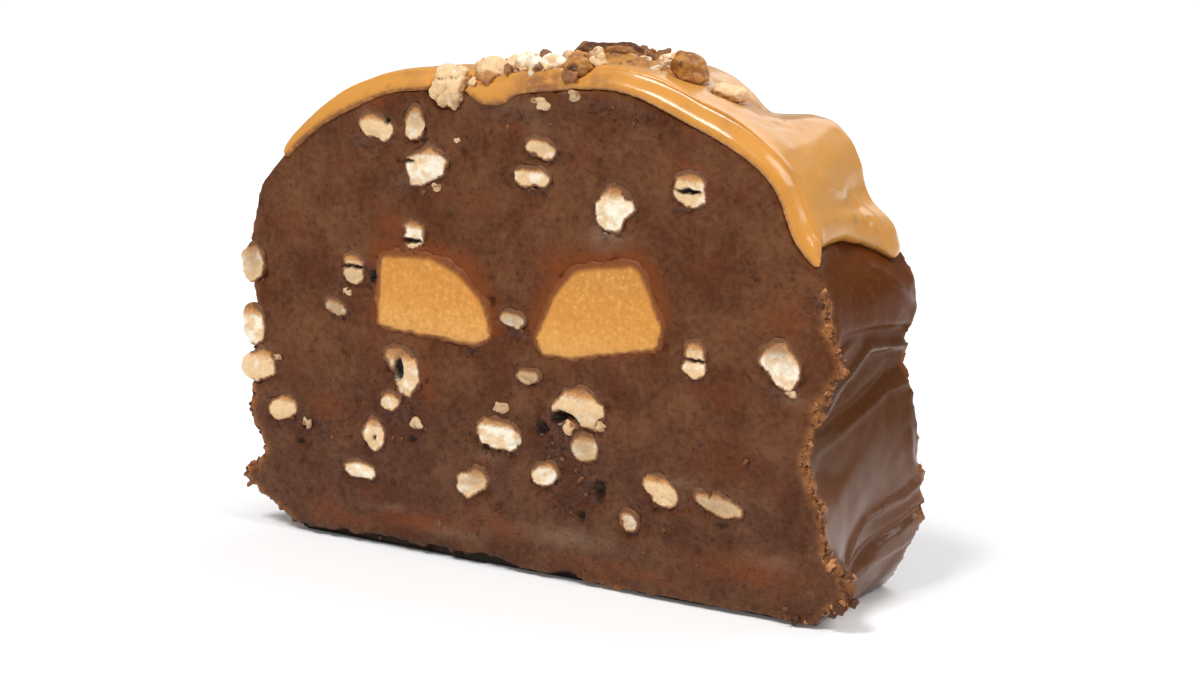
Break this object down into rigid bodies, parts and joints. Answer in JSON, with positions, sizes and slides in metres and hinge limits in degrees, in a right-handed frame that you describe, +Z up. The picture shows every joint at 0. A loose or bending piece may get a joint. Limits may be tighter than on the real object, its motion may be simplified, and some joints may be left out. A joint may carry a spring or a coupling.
{
  "type": "chocolate fudge",
  "caption": "Thick upright slice of a round-topped chocolate fudge loaf, with caramel icing and chopped nuts on top, and caramels and nuts showing in both cut faces.",
  "frame": {"origin": "middle of the flat base that the slice stands on", "axes": "+X across the slice, +Y from the front cut to the back cut, +Z up"},
  "size_m": [0.1099, 0.0263, 0.0809],
  "materials": {
    "fudge": "satin brown chocolate fudge, dull on the cuts and glossier on the outer skin",
    "icing": "glossy caramel icing",
    "caramel": "satin, fine-grained soft caramel",
    "nut_flesh": "dull cream flesh of a broken nut",
    "nut_skin": "brown nut skin with a low sheen"
  },
  "bodies": {
    "root": {"fudge": "fudge", "caramel_icing": "icing", "caramel_left": "caramel", "caramel_right": "caramel", "front_nut_01": "nut_flesh", "front_nut_02": "nut_flesh", "front_nut_03": "nut_flesh", "front_nut_04": "nut_flesh", "front_nut_05": "nut_flesh", "front_nut_06": "nut_flesh", "front_nut_07": "nut_flesh", "front_nut_08": "nut_flesh", "front_nut_09": "nut_flesh", "front_nut_10": "nut_flesh", "front_nut_11": "nut_flesh", "front_nut_12": "nut_flesh", "front_nut_13": "nut_flesh", "front_nut_14": "nut_flesh", "front_nut_15": "nut_flesh", "front_nut_16": "nut_flesh", "front_nut_17": "nut_flesh", "front_nut_18": "nut_flesh", "front_nut_19": "nut_flesh", "front_nut_20": "nut_flesh", "front_nut_21": "nut_flesh", "front_nut_22": "nut_flesh", "front_nut_23": "nut_flesh", "front_nut_24": "nut_flesh", "front_nut_25": "nut_flesh", "front_nut_26": "nut_flesh", "front_nut_27": "nut_flesh", "front_nut_28": "nut_flesh", "front_nut_29": "nut_flesh", "front_nut_30": "nut_flesh", "back_nut_01": "nut_flesh", "back_nut_02": "nut_flesh", "back_nut_03": "nut_flesh", "back_nut_04": "nut_flesh", "back_nut_05": "nut_flesh", "back_nut_06": "nut_flesh", "back_nut_07": "nut_flesh", "back_nut_08": "nut_flesh", "top_walnut_01": "nut_flesh", "top_walnut_02": "nut_flesh", "top_walnut_03": "nut_flesh", "top_walnut_04": "nut_flesh", "top_pecan_05": "nut_skin", "top_pecan_06": "nut_skin", "top_pecan_07": "nut_skin", "top_pecan_08": "nut_skin", "top_walnut_09": "nut_flesh", "top_walnut_10": "nut_flesh", "top_pecan_11": "nut_skin", "top_walnut_12": "nut_flesh", "top_walnut_13": "nut_flesh", "top_walnut_14": "nut_flesh", "top_pecan_15": "nut_skin"}
  },
  "joints": []
}
